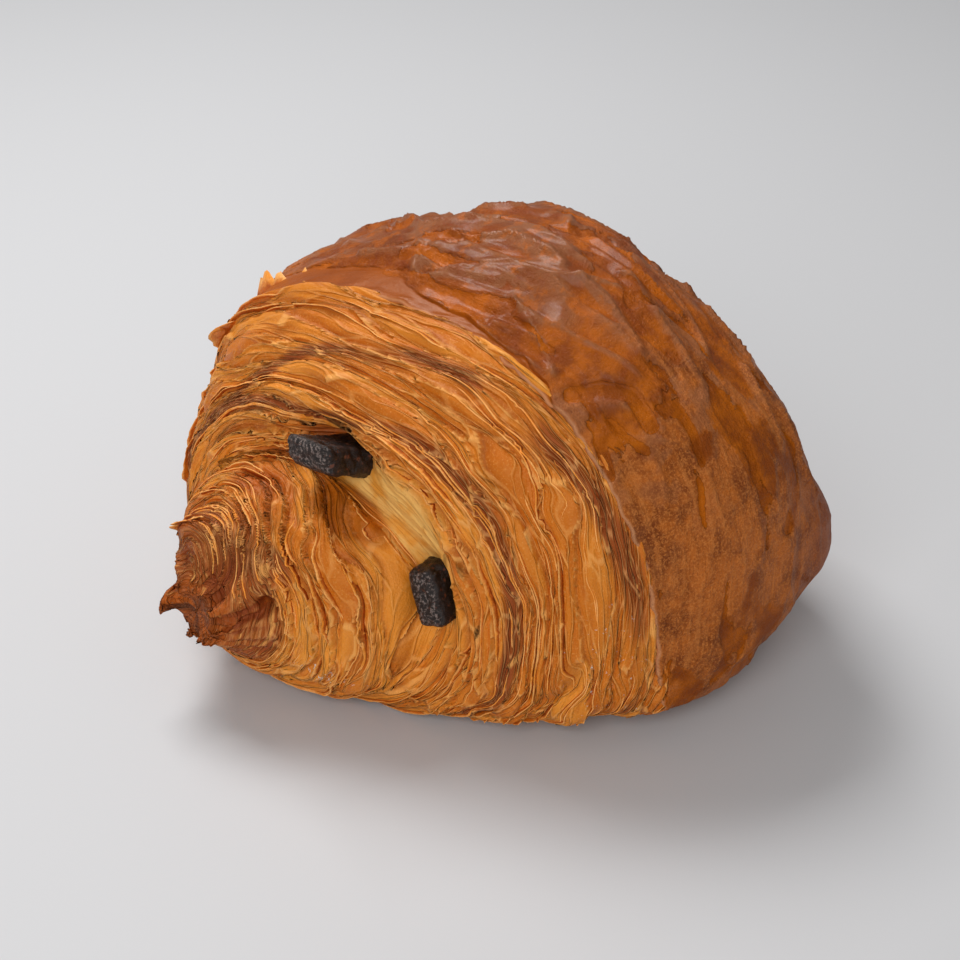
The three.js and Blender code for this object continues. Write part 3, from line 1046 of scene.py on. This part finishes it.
def crust_material(colours):
    """Matt skin over a glazed under-layer that shows where the skin is torn and in the hollows."""
    paint = Paint("glazed_crust", colours)
    spot = paint.place()
    torn, gloss, ridge, tone, band = paint.read("torn", "gloss", "ridge", "tone", "band")
    front, dark, reach = paint.read("front", "dark", "reach")
    cos, sin = paint.read("round_cos", "round_sin")
    streak = paint.noise(paint.vector(reach * 0.9, cos * 4.0, sin * 4.0), 1.0, 4.0, 0.65)
    blotch = paint.noise(spot, 0.16, 4.0, 0.6)
    mottle = paint.noise(spot, 1.0, 5.0, 0.72)
    speck = paint.noise(spot, 3.0, 2.0, 0.6)
    grain = paint.noise(spot, 2.6, 3.0, 0.75)
    char = paint.noise(spot, 0.32, 5.0, 0.65)

    # The dry skin: blotched, streaked round the roll, darker where it is glossy.
    skin = paint.mix(blotch.above(0.38, 0.66), "crust_light", "crust_dark")
    skin = paint.coats(
        skin,
        (mottle.above(0.5, 0.72) * 0.45, "crust_tan"),
        (mottle.above(0.44, 0.3) * 0.5, "crust_dark"),
        (speck.above(0.4, 0.28) * 0.5, "layer_baked"),
        (streak.above(0.52, 0.66) * 0.4, "crust_tan"),
        (streak.above(0.46, 0.34) * 0.45, "crust_dark"),
        (gloss.above(0.5, 0.95) * 0.85, "crust_dark"),
    )

    # Egg wash pools in the hollows between wrinkles, whose ridges are dull skin, lightened to mauve as
    # painted sheen.
    under = paint.mix(blotch.above(0.35, 0.65), "glaze", "glaze_dark")
    glaze = paint.mix(gloss.above(0.5, 0.95) * 0.6, under, "glaze_dark")
    hollow = gloss * 1.6 - 0.55 - ridge * 1.4 + (blotch - 0.5) * 2.0 + (tone - 0.5) * 1.9
    hollow = hollow.above(0.3, 0.55)
    skin = paint.mix(hollow * 0.9, skin, glaze)
    skin = paint.mix(ridge.above(0.1, 0.6) * gloss * 0.8, skin, "ridge_skin_and_sheen")

    # Dust on the matt side, mauve bloom that is partly painted sheen, and charred patches on the glossy
    # top.
    dusty = (1.0 - hollow) * (1.0 - gloss.above(0.3, 0.8))
    skin = paint.mix(grain.above(0.5, 0.6) * 0.6 * dusty, skin, "crust_tan")
    bloom = paint.noise(spot, 0.2, 3.0).above(0.48, 0.6) * gloss.above(0.2, 0.45) * (1.0 - hollow)
    skin = paint.coats(
        skin,
        (bloom * 0.55, "ridge_skin_and_sheen"),
        (char.above(0.5, 0.66) * gloss * 0.5, "layer_baked"),
        (char.above(0.48, 0.36) * gloss * 0.6, "glaze"),
        (grain.above(0.43, 0.32) * 0.25, "crust_dark"),
        (dark * (0.4 + mottle * 0.8), "layer_baked"),
    )

    # Where the skin is torn off, and along its front edge, the amber under-layer shows.
    sheer = (torn + (paint.noise(spot, 0.8, 4.0, 0.6) - 0.5) * 0.55).above(0.0, 0.03)
    colour = paint.mix(sheer, under, skin)
    amber = paint.mix(blotch.above(0.4, 0.6), "crust_light", "glaze")
    amber = paint.mix(gloss.above(0.35, 0.85) * 0.9, amber, "glaze_dark")
    colour = paint.mix(band * (0.6 + 0.4 * mottle), colour, amber)
    # The pale dry rim of the front edge is also a painted highlight along the raised edge.
    colour = paint.mix(front.above(0.05, 0.012) * 0.75, colour, "torn_rim_and_highlight")

    relief = mottle * 0.6 + streak * 0.35 + speck * 0.15 + grain * 0.2 * (1.0 - 0.7 * gloss)
    height = relief * (1.0 - 0.7 * band) + sheer * 0.45
    rough = 0.44 - 0.26 * gloss + 0.14 * mottle + 0.05 * sheer + 0.1 * band
    shine = (0.42 - 0.45 * mottle) * gloss.above(0.3, 0.9) * (1.0 - 0.6 * band)
    paint.set(Base_Color=colour, Roughness=rough, Normal=paint.bump(height, RELIEF["crust"]), IOR=CRUST_IOR,
              Coat_Weight=shine, Coat_Roughness=EGG_WASH_ROUGHNESS, Coat_IOR=EGG_WASH_IOR,
              Coat_Tint=WARM_SHINE, Specular_Tint=WARM_SHINE)
    return paint.material


def lips_material(colours):
    """Single layers: amber where they leave the dough, pale and dry along the edge."""
    paint = Paint("layer_edges", colours)
    spot = paint.place()
    rise, = paint.read("rise")
    patch = paint.noise(spot, 0.35, 3.0)
    grain = paint.noise(spot, 2.2, 2.0)
    edge = paint.mix(patch.above(0.42, 0.62), "layer_edge", "film_light")
    body = paint.mix(patch.above(0.4, 0.6), "film_dark", "layer_rust")
    colour = paint.mix((rise + (grain - 0.5) * 0.5).above(0.45, 0.95), body, edge)
    paint.set(Base_Color=colour, Roughness=0.5, Normal=paint.bump(grain, RELIEF["edges"]), IOR=DOUGH_IOR)
    return paint.material


def chocolate_material(colours):
    """Dark chocolate, satin, speckled where the oven dried it, lighter grey on its end faces as dried bloom
    and painted sheen.
    """
    paint = Paint("dark_chocolate", colours)
    spot = paint.place()
    cloud = paint.noise(spot, 0.5, 3.0)
    grit = paint.noise(spot, 1.8, 4.0, 0.75)
    end, = paint.read("end")
    # The grey on the end faces is partly dried bloom, partly painted sheen of the lit end.
    bloom = grit.above(0.5, 0.62) * (0.06 + 0.94 * end)
    colour = paint.mix(bloom, "chocolate", "chocolate_bloom_and_sheen")
    fleck = paint.noise(spot, 1.3, 2.0).above(0.6, 0.68) * (1.0 - 0.5 * end)
    colour = paint.mix(fleck * 0.8, colour, "chocolate_fleck")
    colour = paint.mix(grit.above(0.42, 0.3), colour, "chocolate")
    rough = 0.2 + 0.3 * grit + 0.15 * end
    height = grit * 0.7 + cloud * 0.3
    paint.set(Base_Color=colour, Roughness=rough, Normal=paint.bump(height, RELIEF["chocolate"]),
              IOR=CHOCOLATE_IOR)
    return paint.material


def floor_material(colours):
    paint = Paint("pale_table", colours)
    paint.set(Base_Color="table", Roughness=0.6)
    return paint.material


# ---------------------------------------------------------------- properties

def colour_property(name, description, default):
    return bpy.props.FloatVectorProperty(name=name, description=description, subtype="COLOR", size=3,
                                         min=0.0, max=1.0, default=default)


class PastrySizes(bpy.types.PropertyGroup):
    layer_step: bpy.props.FloatProperty(
        name="Layer step", description="From one thick layer edge to the next", unit="LENGTH",
        default=3.0 * MM)
    layer_height: bpy.props.FloatProperty(
        name="Layer height", description="How far a thick layer edge stands proud", unit="LENGTH",
        default=1.15 * MM)
    wrinkle_height: bpy.props.FloatProperty(
        name="Wrinkle height", description="Share of their full height that the wrinkles reach",
        subtype="FACTOR", min=0.0, max=2.0, default=0.9)


class PastryColours(bpy.types.PropertyGroup):
    film_light: colour_property("Light film", "Thin golden layer", (0.86, 0.30, 0.030))
    film_dark: colour_property("Dark film", "Amber layer", (0.62, 0.15, 0.006))
    layer_edge: colour_property("Layer edge", "Dry pale edge of a layer", (0.94, 0.43, 0.11))
    layer_baked: colour_property("Baked layers", "Tight layers, well browned", (0.25, 0.045, 0.009))
    layer_rust: colour_property("Rust layers", "Layers browned to rust", (0.46, 0.095, 0.008))
    layer_rose: colour_property("Dusty edge", "Edge of a well browned layer", (0.46, 0.20, 0.095))
    cream: colour_property("Pale fold", "Dough hidden from the heat", (0.88, 0.50, 0.14))
    cream_dark: colour_property("Golden fold", "Dough half hidden", (0.80, 0.32, 0.04))
    # Pale dry rim, also a painted highlight along the raised edge.
    torn_rim_and_highlight: colour_property("Torn rim", "Dry edge of the outer sheet", (0.62, 0.29, 0.14))
    burnt: colour_property("Burnt", "Scorched end of the coil", (0.14, 0.036, 0.014))
    crust_light: colour_property("Crust", "Caramel skin", (0.48, 0.125, 0.018))
    crust_dark: colour_property("Dark crust", "Red-brown skin", (0.185, 0.038, 0.0045))
    # Dull skin on the ridges, lightened to mauve as painted sheen.
    ridge_skin_and_sheen: colour_property("Crust ridges", "Dull skin on the ridges", (0.32, 0.120, 0.050))
    crust_tan: colour_property("Tan crust", "Dry specks on the skin", (0.64, 0.215, 0.048))
    glaze: colour_property("Glaze", "Orange under-layer", (0.50, 0.118, 0.0015))
    glaze_dark: colour_property("Dark glaze", "Under-layer, deeper", (0.26, 0.052, 0.001))
    chocolate: colour_property("Chocolate", "Dark chocolate", (0.010, 0.004, 0.0025))
    # Dried bloom, lightened as painted sheen on the end faces.
    chocolate_bloom_and_sheen: colour_property("Chocolate bloom", "Dried chocolate", (0.22, 0.165, 0.145))
    chocolate_fleck: colour_property("Chocolate fleck", "Reddish fleck", (0.16, 0.045, 0.02))
    flour: colour_property("Flour", "Specks of flour", (0.9, 0.86, 0.8))
    table: colour_property("Table", "Pale surface", (0.61, 0.61, 0.62))


# ---------------------------------------------------------------- operators

class PASTRY_OT_dough(bpy.types.Operator):
    """Makes the baked, laminated dough"""

    bl_idname = "pastry.dough"
    bl_label = "Baked pastry"

    def execute(self, context):
        sizes, colours = context.scene.pastry_sizes, context.scene.pastry_colours
        dough = Dough(sizes)
        piece = lips_piece(Lips(dough, RIBBONS["count"]))
        finish_piece(piece, "layer_edges", lips_material(colours), "baked_pastry")
        piece = closed_grid(dough.points, dough.kept())
        finish_piece(piece, "layered_dough", dough_material(colours), "baked_pastry")
        return {"FINISHED"}


class PASTRY_OT_crust(bpy.types.Operator):
    """Makes the glazed outer sheet of the wrap"""

    bl_idname = "pastry.crust"
    bl_label = "Crust"

    def execute(self, context):
        crust = Crust(context.scene.pastry_sizes)
        piece = closed_grid(crust.points, crust.kept())
        finish_piece(piece, "crust", crust_material(context.scene.pastry_colours), "baked_pastry")
        return {"FINISHED"}


class PASTRY_OT_batons(bpy.types.Operator):
    """Makes the two chocolate batons"""

    bl_idname = "pastry.batons"
    bl_label = "Chocolate batons"

    def execute(self, context):
        material = chocolate_material(context.scene.pastry_colours)
        for node, place in BATONS.items():
            piece = baton_piece(place, Noise(SEEDS[node]))
            finish_piece(piece, node.replace("chocolate_", ""), material, node)
        return {"FINISHED"}


def area_light(name, energy, size, spot):
    light = bpy.data.lights.new(name, "AREA")
    light.energy = energy
    light.shape = "RECTANGLE"
    light.size, light.size_y = size
    lamp = bpy.data.objects.new(name, light)
    bpy.context.scene.collection.objects.link(lamp)
    lamp.location = spot
    lamp.rotation_euler = (Vector(LIGHT_AIM) - Vector(spot)).to_track_quat("-Z", "Y").to_euler()


class PASTRY_OT_stage(bpy.types.Operator):
    """Sets the table, the soft lights and the camera"""

    bl_idname = "pastry.stage"
    bl_label = "Table, lights and camera"

    def execute(self, context):
        scene = context.scene
        clear_selection()
        bpy.ops.mesh.primitive_plane_add(size=TABLE_SIZE)
        table = context.object
        table.name = "table"
        table.data.materials.append(floor_material(scene.pastry_colours))
        scene.view_settings.view_transform = "Standard"
        world = bpy.data.worlds.new("studio")
        world.use_nodes = True
        room = world.node_tree.nodes["Background"].inputs
        room["Color"].default_value = (1, 1, 1, 1)
        room["Strength"].default_value = ROOM_LIGHT
        scene.world = world
        for light in LIGHTS:
            area_light(*light)
        self.camera(scene)
        return {"FINISHED"}

    def camera(self, scene):
        """Looks back at the roll's front from the side of its nose."""
        azimuth, elevation = math.radians(VIEW["azimuth"]), math.radians(VIEW["elevation"])
        level = math.cos(elevation)
        back = Vector((math.sin(azimuth) * level, -math.cos(azimuth) * level, math.sin(elevation)))
        right = Vector((math.cos(azimuth), math.sin(azimuth), 0))
        above = back.cross(right)
        aim = Vector(AIM) * MM - (right + above) * AIM_SHIFT * MM
        lens = bpy.data.cameras.new("camera")
        lens.lens, lens.sensor_width = VIEW["lens"], VIEW["sensor"]
        lens.clip_start = 0.01
        camera = bpy.data.objects.new("camera", lens)
        scene.collection.objects.link(camera)
        turned = Matrix((right, above, back)).transposed().to_4x4()
        camera.matrix_world = Matrix.Translation(aim + back * VIEW["distance"]) @ turned
        scene.camera = camera


class PASTRY_PT_panel(bpy.types.Panel):
    """Lists what can be made and its sizes"""

    bl_label = "Pain au chocolat"
    bl_space_type = "VIEW_3D"
    bl_region_type = "UI"
    bl_category = "Pastry"

    def draw(self, context):
        column = self.layout.column()
        for operator in OPERATORS:
            column.operator(operator.bl_idname)
        for group in (context.scene.pastry_sizes, context.scene.pastry_colours):
            for name in group.__annotations__:
                column.prop(group, name)


OPERATORS = (PASTRY_OT_dough, PASTRY_OT_crust, PASTRY_OT_batons, PASTRY_OT_stage)
CLASSES = (PastrySizes, PastryColours, *OPERATORS, PASTRY_PT_panel)


def register():
    for made in CLASSES:
        bpy.utils.register_class(made)
    bpy.types.Scene.pastry_sizes = bpy.props.PointerProperty(type=PastrySizes)
    bpy.types.Scene.pastry_colours = bpy.props.PointerProperty(type=PastryColours)


def unregister():
    del bpy.types.Scene.pastry_colours
    del bpy.types.Scene.pastry_sizes
    for made in reversed(CLASSES):
        bpy.utils.unregister_class(made)


def main():
    """Makes everything."""
    register()
    bpy.ops.pastry.dough()
    bpy.ops.pastry.crust()
    bpy.ops.pastry.batons()
    bpy.ops.pastry.stage()


if __name__ == "__main__":
    main()
